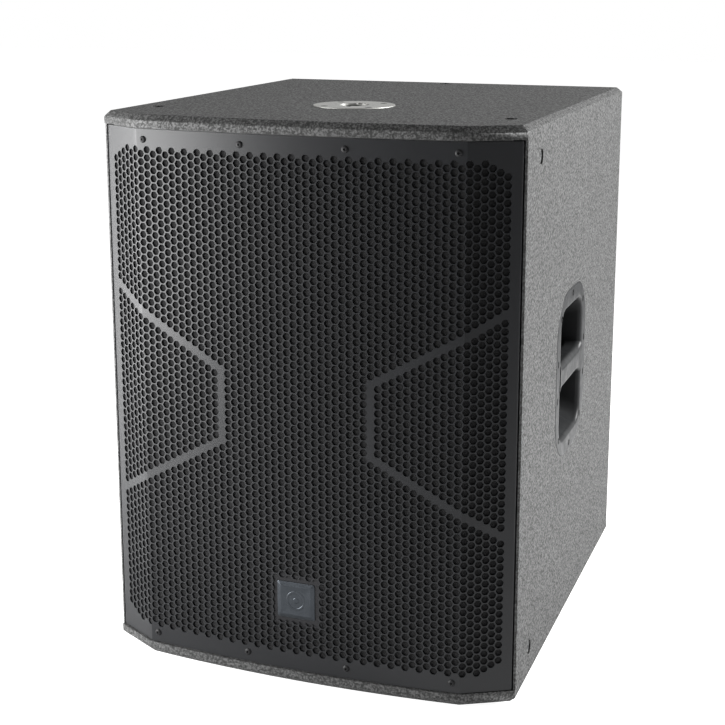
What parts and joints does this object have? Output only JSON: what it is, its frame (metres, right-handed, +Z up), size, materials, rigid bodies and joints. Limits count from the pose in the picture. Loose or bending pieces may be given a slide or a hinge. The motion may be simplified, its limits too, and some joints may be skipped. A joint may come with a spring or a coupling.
{
  "type": "subwoofer cabinet",
  "caption": "Powered subwoofer cabinet: plywood box with a curved perforated front grille, side handles, pole socket, rigging points, woofer and rear amplifier panel.",
  "frame": {"origin": "centre of the footprint, on the floor under the rubber feet", "axes": "+X to the right seen from the front, the grille faces -Y, +Z up along the pole socket"},
  "size_m": [0.501, 0.588, 0.661],
  "materials": {
    "textured_paint": "textured black paint on plywood",
    "black_wood": "flat black stain on plywood",
    "bare_plywood": "bare birch plywood and pine",
    "wadding_fleece": "polyester fleece",
    "grille_steel": "satin powder coat on steel sheet",
    "black_foam": "open-cell foam",
    "black_screws": "black zinc",
    "bright_screws": "zinc plated",
    "black_plastic": "moulded black plastic",
    "badge_silver": "satin silver",
    "pole_metal": "satin cast aluminium",
    "handle_plastic": "moulded dark grey plastic with a slight gloss",
    "rig_steel": "over-painted steel",
    "black_rubber": "moulded rubber",
    "basket_metal": "black powder coat on cast aluminium",
    "cone_paper": "coated paper",
    "spider_cloth": "resin-dipped cloth",
    "former_film": "amber film",
    "copper": "enamelled copper wire",
    "zinc_steel": "dark zinc on steel",
    "ferrite": "sintered ferrite",
    "amp_paint": "fine textured black powder coat",
    "board_green": "solder mask",
    "capacitor_sleeve": "shrunk sleeve",
    "pin_metal": "gold plated",
    "latch_metal": "nickel plated",
    "rocker_plastic": "red moulded plastic",
    "knob_plastic": "soft black plastic",
    "button_plastic": "light grey moulded plastic",
    "light_lens": "green lens"
  },
  "bodies": {
    "cabinet": {"top_panel": "textured_paint", "bottom_panel": "textured_paint", "left_side_panel": "textured_paint", "right_side_panel": "textured_paint", "rear_panel": "black_wood", "front_baffle": "black_wood", "port_shelf": "bare_plywood", "window_brace": "bare_plywood", "glue_cleats": "bare_plywood", "wadding": "wadding_fleece", "front_grille": "grille_steel", "grille_foam": "black_foam", "grille_battens": "black_wood", "grille_screws": "black_screws", "badge_backing": "black_plastic", "badge_plate": "badge_silver", "pole_socket": "pole_metal", "pole_socket_screws": "black_screws", "left_handle": "handle_plastic", "right_handle": "handle_plastic", "handle_screws": "black_screws", "rigging_inserts": "rig_steel", "rubber_feet": "black_rubber", "foot_screws": "bright_screws", "woofer_basket": "basket_metal", "woofer_gasket": "black_rubber", "surround": "black_rubber", "spider": "spider_cloth", "front_plate": "zinc_steel", "magnet": "ferrite", "back_plate": "zinc_steel", "woofer_bolts": "black_screws", "woofer_tnuts": "bright_screws", "woofer_terminals": "black_plastic", "speaker_cable": "black_rubber", "amp_panel": "amp_paint", "amp_gasket": "black_rubber", "amp_screws": "black_screws", "heat_sink": "basket_metal", "amp_board": "board_green", "board_standoffs": "bright_screws", "capacitors": "capacitor_sleeve", "transformer": "copper", "audio_inputs": "black_plastic", "audio_outputs": "black_plastic", "connector_pins": "pin_metal", "mains_inlet": "black_plastic", "switch_housing": "black_plastic", "control_bodies": "zinc_steel", "indicator_lights": "light_lens"},
    "cone_assembly": {"cone": "cone_paper", "dust_cap": "cone_paper", "coil_former": "former_film", "voice_coil": "copper"},
    "upper_latch": {"upper_latch": "latch_metal"},
    "lower_latch": {"lower_latch": "latch_metal"},
    "level_knob": {"level_knob": "knob_plastic"},
    "crossover_knob": {"crossover_knob": "knob_plastic"},
    "polarity_button": {"polarity_button": "button_plastic"},
    "switch_rocker": {"switch_rocker": "rocker_plastic"}
  },
  "joints": [
    {"name": "cone_travel", "type": "slide", "parent": "cabinet", "child": "cone_assembly", "axis": [0, -1, 0], "range_m": [-0.01, 0.01], "stiffness_N_per_m": 6000, "deforming": ["surround", "spider"]},
    {"name": "upper_latch_press", "type": "slide", "parent": "cabinet", "child": "upper_latch", "axis": [0, -1, 0], "range_m": [0, 0.0015], "stiffness_N_per_m": 400},
    {"name": "lower_latch_press", "type": "slide", "parent": "cabinet", "child": "lower_latch", "axis": [0, -1, 0], "range_m": [0, 0.0015], "stiffness_N_per_m": 400},
    {"name": "level_turn", "type": "hinge", "parent": "cabinet", "child": "level_knob", "pos_m": [0.005, 0.28, 0.329], "axis": [0, 1, 0], "range_deg": [-150, 150]},
    {"name": "crossover_turn", "type": "hinge", "parent": "cabinet", "child": "crossover_knob", "pos_m": [0.05, 0.28, 0.329], "axis": [0, 1, 0], "range_deg": [-150, 150]},
    {"name": "polarity_press", "type": "slide", "parent": "cabinet", "child": "polarity_button", "axis": [0, -1, 0], "range_m": [0, 0.0025], "stiffness_N_per_m": 500},
    {"name": "power_switch", "type": "hinge", "parent": "cabinet", "child": "switch_rocker", "pos_m": [-0.025, 0.2705, 0.229], "axis": [1, 0, 0], "range_deg": [-16, 0]}
  ]
}
